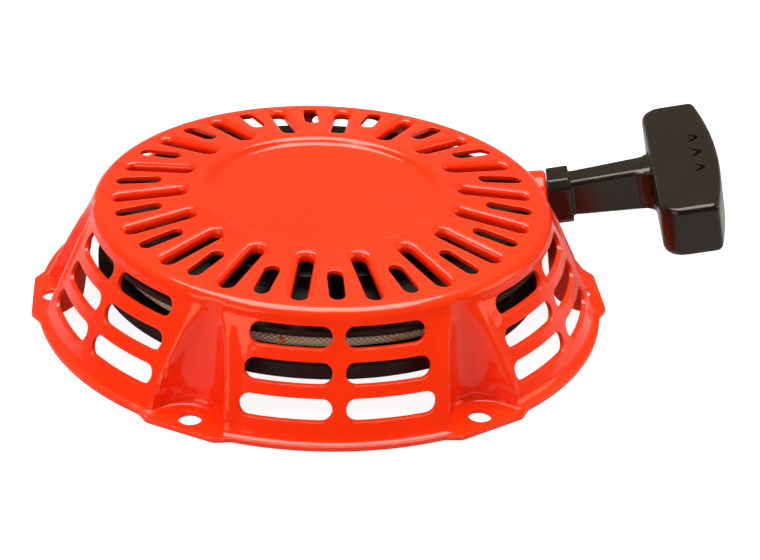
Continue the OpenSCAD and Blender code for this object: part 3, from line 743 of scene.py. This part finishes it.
# %% Eighteen lips by Geometry Nodes
def ring_tree(name, finish):
    """A tree that turns copies of a piece round the Z axis."""
    tree = bpy.data.node_groups.new(name, "GeometryNodeTree")
    face = tree.interface
    for title, kind in (("Piece", "NodeSocketObject"), ("Count", "NodeSocketInt"),
                        ("First Angle", "NodeSocketFloat"), ("Step Angle", "NodeSocketFloat")):
        face.new_socket(title, in_out="INPUT", socket_type=kind)
    face.new_socket("Geometry", in_out="OUTPUT", socket_type="NodeSocketGeometry")
    make, join = tree.nodes.new, tree.links.new
    given, result = make("NodeGroupInput"), make("NodeGroupOutput")
    points = make("GeometryNodePoints")
    info = make("GeometryNodeObjectInfo")
    copies = make("GeometryNodeInstanceOnPoints")
    index = make("GeometryNodeInputIndex")
    turn, start = make("ShaderNodeMath"), make("ShaderNodeMath")
    turn.operation, start.operation = "MULTIPLY", "ADD"
    angles = make("ShaderNodeCombineXYZ")
    real, paint = make("GeometryNodeRealizeInstances"), make("GeometryNodeSetMaterial")
    paint.inputs["Material"].default_value = finish.material
    join(given.outputs["Count"], points.inputs["Count"])
    join(given.outputs["Piece"], info.inputs["Object"])
    join(index.outputs[0], turn.inputs[0])
    join(given.outputs["Step Angle"], turn.inputs[1])
    join(turn.outputs[0], start.inputs[0])
    join(given.outputs["First Angle"], start.inputs[1])
    join(start.outputs[0], angles.inputs["Z"])
    join(points.outputs[0], copies.inputs["Points"])
    join(info.outputs["Geometry"], copies.inputs["Instance"])
    join(angles.outputs[0], copies.inputs["Rotation"])
    join(copies.outputs[0], real.inputs[0])
    join(real.outputs[0], paint.inputs["Geometry"])
    join(paint.outputs[0], result.inputs[0])
    return tree


def turned_copies(name, piece, tree, count, first, step):
    """The ring as a plain mesh; the piece it was made from is removed."""
    made = mesh_object(name, [(0, 0, 0)], [])
    ring = made.modifiers.new("ring", "NODES")
    ring.node_group = tree
    values = {"Piece": piece, "Count": count,
              "First Angle": radians(first), "Step Angle": radians(step)}
    for item in tree.interface.items_tree:
        if item.in_out == "INPUT":
            ring[item.identifier] = values[item.name]
    baked(made)
    bpy.data.objects.remove(piece)
    for face in made.data.polygons:
        face.use_smooth = True
    return made


LIP_COUNT = 18
ring_of_pieces = ring_tree("ring_of_pieces", enamel)
vent_lips = turned_copies("vent_lips", one_lip, ring_of_pieces,
                          LIP_COUNT, EAR_ANGLE, 360 / LIP_COUNT)
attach(vent_lips, "cover")
print("vent lips:", len(vent_lips.data.polygons), "faces")

# %% [markdown]
# ## Moulded plastic
#
# The handle, reel and rope guide are black nylon. Moulded nylon isn't pure black: it has a
# faint brown cast, a fine spark-eroded grain, and it turns greyer where hands rub it. The
# handle's edges are well rounded for the hand, so its mesh is built again from small even
# cells and smoothed, which softens every edge and leaves the flats flat.

# %% Black plastics
def plastic(name, dark, pale, roughness, grain, edge):
    """A moulded plastic that varies from dark to pale, with a fine grain."""
    made = Finish(name, dark, roughness)
    shades = made.ramp(made.noise(55, 5), [(0.3, dark), (0.72, pale)])
    made.link(shades, made.shader.inputs["Base Color"])
    wear = made.ramp(made.noise(130, 4), [(0.3, (roughness * 0.8,)), (0.7, (roughness * 1.25,))])
    made.link(wear, made.shader.inputs["Roughness"])
    grained = made.bump(made.noise(2600, 2), grain, 0.5, made.rounded(edge))
    made.link(grained, made.shader.inputs["Normal"])
    return made


GRIP_DARK, GRIP_PALE = (0.0075, 0.0062, 0.0042), (0.0125, 0.0102, 0.0070)
REEL_DARK, REEL_PALE = (0.004, 0.004, 0.004), (0.009, 0.009, 0.009)
grip_black = plastic("grip_black", GRIP_DARK, GRIP_PALE, 0.20, 0.00003, 0.0004)
reel_black = plastic("reel_black", REEL_DARK, REEL_PALE, 0.4, 0.00005, 0.0005)
dress(["reel", "rope_guide"], reel_black)
print("plastics:", grip_black.material.name, reel_black.material.name)

# %% Soft-edged handle
def soft_copy(node, name, cell, passes):
    """A copy of a CAD node rebuilt from even cells, with its edges smoothed."""
    made = bpy.data.objects.new(name, nodes[node].data.copy())
    bpy.context.scene.collection.objects.link(made)
    made.data.materials.clear()
    outward(made)
    cells = made.modifiers.new("cells", "REMESH")
    cells.mode = "VOXEL"
    cells.voxel_size = cell
    soften = made.modifiers.new("soften", "SMOOTH")
    soften.factor = 0.5
    soften.iterations = passes
    baked(made)
    for face in made.data.polygons:
        face.use_smooth = True
    return made


grip = soft_copy("handle", "pull_handle", 0.00042, 5)
print("soft-edged handle:", made_size(grip))

# %% [markdown]
# ## The arrows on the grip
#
# Three small arrows are sunk into the grip's top. Dust and shade gather in such marks, so
# the points that lie below the top are noted in an attribute; the finish paints the shade
# into them as a darker colour, and makes them duller for the dust.

# %% Darker bottoms for the sunk arrows
GRIP_TOP, ARROWS_FROM, ARROWS_TO, ARROWS_HALF = 9.1, 46.0, 57.5, 18.0
MARK_DEEP, MARK_SHALLOW = 0.8, 0.11
# Painted shade: the nearly black colour given to the arrows' recesses.
ARROW_PAINTED_SHADE = (0.0008, 0.0007, 0.0006, 1)
MARK_ROUGH, PLAIN_SPECULAR, MARK_SPECULAR = [(v, v, v, 1) for v in (0.5, 0.5, 0.02)]


def sunk(point):
    """Whether a point of the handle lies in an arrow's recess."""
    away = point / MM - Vector(OUTLET)
    x = away.x * cos(PULL_PITCH) + away.z * sin(PULL_PITCH)
    up = away.z * cos(PULL_PITCH) - away.x * sin(PULL_PITCH)
    in_row = ARROWS_FROM < x < ARROWS_TO and abs(away.y) < ARROWS_HALF
    return in_row and MARK_SHALLOW < GRIP_TOP - up < MARK_DEEP


in_arrow = [float(sunk(v.co)) for v in grip.data.vertices]
marks = grip.data.attributes.new("sunk", "FLOAT", "POINT")
marks.data.foreach_set("value", in_arrow)
in_mark = grip_black.node("ShaderNodeAttribute", attribute_name="sunk").outputs["Fac"]
grip_inputs = grip_black.shader.inputs
# Inside the arrows the colour is painted shade; roughness and specular make them duller.
for title, plain, mark in (
        ("Base Color", grip_inputs["Base Color"].links[0].from_socket, ARROW_PAINTED_SHADE),
        ("Roughness", grip_inputs["Roughness"].links[0].from_socket, MARK_ROUGH),
        ("Specular IOR Level", PLAIN_SPECULAR, MARK_SPECULAR)):
    grip_black.link(grip_black.mix(in_mark, plain, mark), grip_inputs[title])
print("points in the arrows:", int(sum(in_arrow)))
grip.data.materials.append(grip_black.material)
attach(grip, "handle")
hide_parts("handle")
print("handle:", made_size(grip))

# %% [markdown]
# ## Metals
#
# Five metals are at work inside. Turned steel and bronze carry fine rings from the lathe, zinc
# plate has a cloudy yellowish bloom, and spring steel is blued by its heat treatment. Each
# is a metallic shader whose colour, roughness and bump come from noise at that metal's scale.

# %% Metals
METAL_EDGE = 0.0003


def metal(name, dark, pale, roughness, cloud, grain=900, depth=0.00004, stretch=None):
    """A metal with clouds of colour and roughness, and a fine grain in its bump."""
    made = Finish(name, pale, roughness, 1.0)
    patches = made.ramp(made.noise(cloud, 5), [(0.3, dark), (0.7, pale)])
    made.link(patches, made.shader.inputs["Base Color"])
    haze = [(0.3, (roughness * 0.75,)), (0.7, (roughness * 1.4,))]
    made.link(made.ramp(made.noise(cloud * 2.3, 4), haze), made.shader.inputs["Roughness"])
    grained = made.bump(made.noise(grain, 3, stretch), depth, 0.6, made.rounded(METAL_EDGE))
    made.link(grained, made.shader.inputs["Normal"])
    return made


LATHE = (1, 1, 12)          # stretches the grain into fine rings
METALS = (
    (("center_post", "knot_washer"),
     ("turned_steel", (0.42, 0.42, 0.43), (0.62, 0.62, 0.62), 0.28, 120, 500, 0.00005, LATHE)),
    (("ratchet_guide", "spring_seat", "reel_washer", "thrust_washer", "center_screw"),
     ("zinc_plate", (0.50, 0.49, 0.42), (0.74, 0.73, 0.66), 0.32, 180)),
    (("recoil_spring", "pawl_spring_a", "pawl_spring_b", "friction_spring"),
     ("spring_steel", (0.10, 0.115, 0.17), (0.30, 0.31, 0.34), 0.27, 90, 700)),
    (("pawl_a", "pawl_b"),
     ("hardened_steel", (0.15, 0.14, 0.13), (0.34, 0.33, 0.31), 0.36, 260, 1200, 0.00006)),
    (("reel_bushing",),
     ("bronze", (0.36, 0.20, 0.07), (0.56, 0.34, 0.14), 0.33, 160, 500, 0.00005, LATHE)),
)
for names, look in METALS:
    dress(names, metal(*look))
print("metals:", [look[0] for names, look in METALS])

# %% [markdown]
# ## Starter rope
#
# Starter rope is a round braid of cream polyester with one orange tracer strand. Two sets of
# strands wind round it in opposite directions and cross over and under. The rope is swept as
# a tube whose UV map runs once round it and along it in metres, so the braid keeps its size
# on every bend. Where both sets meet they form small cells, and a bump lifts each of them.

# %% Braid
TWINE = (0.6, 0.5, 0.36)
GAP_SHADE, CREAM, SOILED = (0.30, 0.21, 0.11), (0.93, 0.82, 0.61), (0.45, 0.33, 0.18, 1)
TRACER_ORANGE = (0.85, 0.22, 0.01, 1)


def braid(name, strands, lay):
    """A braid of strands in each direction; lay is the length of one cell in metres."""
    made = Finish(name, TWINE, 0.75)
    uv = made.node("ShaderNodeUVMap", uv_map="braid")
    split = made.node("ShaderNodeSeparateXYZ")
    made.link(uv.outputs[0], split.inputs[0])
    along = made.math("DIVIDE", split.outputs["Y"], lay)
    across = made.math("MULTIPLY", split.outputs["X"], float(strands))
    left = made.math("ADD", along, across)
    right_hand = made.math("SUBTRACT", along, across)
    hills = [made.math("ABSOLUTE", made.math("SINE", made.math("MULTIPLY", v, pi)))
             for v in (left, right_hand)]
    cell = made.math("POWER", made.math("MULTIPLY", *hills), 0.45)
    strand = made.math("MODULO", made.math("FLOOR", left), float(strands))
    tracer = made.math("LESS_THAN", strand, 0.5)
    step = made.math("MODULO", made.math("FLOOR", right_hand), 5.0)
    spaced = made.math("LESS_THAN", step, 2.5)
    fleck = made.math("MULTIPLY", tracer, spaced)
    # The gaps between strands are darkened by this ramp: painted shade.
    cream_with_gap_shade = made.ramp(cell, [(0.10, GAP_SHADE), (0.60, CREAM)])
    cream_with_gap_shade = made.mix(made.math("MULTIPLY", made.noise(150, 4), 0.3), cream_with_gap_shade, SOILED)
    made.link(made.mix(fleck, cream_with_gap_shade, TRACER_ORANGE), made.shader.inputs["Base Color"])
    fibre = made.bump(made.noise(3500, 2), 0.0001, 0.4)
    made.link(made.bump(cell, 0.00045, 0.9, fibre), made.shader.inputs["Normal"])
    made.set("Sheen Weight", 0.25)
    made.set("Specular IOR Level", 0.25)
    return made


rope_braid = braid("rope_braid", 9, 0.0019)
print("braid:", len(rope_braid.tree.nodes), "nodes")


def swept_rope(name, path, radius, sides=20):
    """A closed round tube through the points of path, in millimetres, with a braid UV map."""
    path = [Vector(p) for p in path]
    along, points, rings = 0.0, [], []
    for i, p in enumerate(path):
        ahead = (path[min(i + 1, len(path) - 1)] - path[max(i - 1, 0)]).normalized()
        out = ahead.cross(Vector((0, 0, 1))).normalized()
        rise = out.cross(ahead)
        along += (p - path[i - 1]).length if i else 0
        rings.append(along * MM)
        points += [p + radius * (cos(2 * pi * k / sides) * out + sin(2 * pi * k / sides) * rise)
                   for k in range(sides)]
    faces = [face[::-1] for face in ring_faces(len(path), sides, 0)]
    faces += [tuple(range(sides - 1, -1, -1)), tuple(range(len(points) - sides, len(points)))]
    made = mesh_object(name, points, faces)
    shape = bmesh.new()
    shape.from_mesh(made.data)
    bmesh.ops.recalc_face_normals(shape, faces=shape.faces)
    braid_uv = shape.loops.layers.uv.new("braid")
    for face in shape.faces:
        columns = [loop.vert.index % sides for loop in face.loops]
        wrap = max(columns) - min(columns) > sides / 2
        for loop, column in zip(face.loops, columns):
            turn = (column + sides if wrap and column < sides / 2 else column) / sides
            loop[braid_uv].uv = (turn, rings[loop.vert.index // sides])
        face.smooth = len(face.verts) == 4
    shape.to_mesh(made.data)
    shape.free()
    made.data.materials.append(rope_braid.material)
    return made


# %% [markdown]
# ## Three pieces of one rope
#
# The rope is one piece on the bench, but three here, because its parts move differently: the
# winding turns with the reel, the lead stays with the cover, and the last piece runs
# between the cover and the handle. They meet end to end at rest.

# %% Rope pieces
ROPE_R, ROPE_PITCH, COIL_R, COIL_TURNS = 2.5, 5.1, 70.0, 3.5
ROPE_SAG, WANDER = 0.7, ((0.25, 2.3), (0.15, 5.1))      # waves: size, and turns to one round
MOUTH_BACK, ROPE_JOINT, JOINT_LEAD = 8.0, 1.5, (1.5, 0.8)
BEND_RUN, COIL_LAP, END_GAP = 6, 0.4, 0.6

coil_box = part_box("rope_coil")
ROPE_Z = (coil_box[0][2] + coil_box[1][2]) / 2 / MM - ROPE_SAG
mouth = Vector(on_pull_line(-MOUTH_BACK))
coil_end = atan2(mouth.y, mouth.x) + acos(COIL_R / hypot(mouth.x, mouth.y))


def coil_point(angle):
    """A point on the stored rope, angle degrees after its outer end."""
    r = COIL_R - ROPE_PITCH * angle / 360
    wander = sum(size * sin(radians(angle * rate)) for size, rate in WANDER)
    at = coil_end + radians(angle)
    return Vector((r * cos(at), r * sin(at), ROPE_Z + wander))


coil_path = [coil_point(4 * i) for i in range(int(COIL_TURNS * 90) + 1)]
coil = swept_rope("rope_winding", coil_path, ROPE_R)
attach(coil, "reel")
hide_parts("rope_coil")

coil_exit = Vector((COIL_R * cos(coil_end), COIL_R * sin(coil_end), ROPE_Z))
back = (coil_exit - mouth).normalized()
turn_in, turn_out = mouth + BEND_RUN * back, Vector(on_pull_line(-ROPE_JOINT - JOINT_LEAD[0]))
lead_from = coil_exit - COIL_LAP * back
lead_path = [lead_from + (turn_in - lead_from) * i / 12 for i in range(12)]
for t in (i / 16 for i in range(17)):
    lead_path.append((1 - t) ** 2 * turn_in + 2 * t * (1 - t) * mouth + t * t * turn_out)
lead_path += [on_pull_line(-ROPE_JOINT - JOINT_LEAD[1]), on_pull_line(-ROPE_JOINT)]
lead = swept_rope("rope_to_eyelet", lead_path, ROPE_R)
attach(lead, "cover")
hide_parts("rope_lead")

run_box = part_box("rope_run")
run_end = (run_box[1][0] / MM - OUTLET[0]) / cos(PULL_PITCH) - END_GAP
run_path = [on_pull_line(-ROPE_JOINT + (run_end + ROPE_JOINT) * i / 24) for i in range(25)]
run = swept_rope("rope_in_handle", run_path, ROPE_R)
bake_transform(run)
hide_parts("rope_run")
print("rope:", [len(piece.data.polygons) for piece in (coil, lead, run)], "faces")

# %% [markdown]
# ## Knots
#
# A knot holds the rope at each end: one in the reel, one in the handle. Both are pulled so
# tight that the braid is lost in them, so rough fibre says more than a pattern would.

# %% Knots
KNOT_DARK, KNOT_PALE = (0.25, 0.18, 0.10), (0.70, 0.58, 0.40)
knot_fibre = Finish("knot_fibre", TWINE, 0.8)
fuzz = knot_fibre.ramp(knot_fibre.noise(700, 3), [(0.3, KNOT_DARK), (0.65, KNOT_PALE)])
knot_fibre.link(fuzz, knot_fibre.shader.inputs["Base Color"])
lumps = knot_fibre.bump(knot_fibre.noise(900, 3), 0.0004, 0.8)
knot_fibre.link(lumps, knot_fibre.shader.inputs["Normal"])
dress(["reel_knot", "handle_knot"], knot_fibre)
print("knots dressed:", 2)
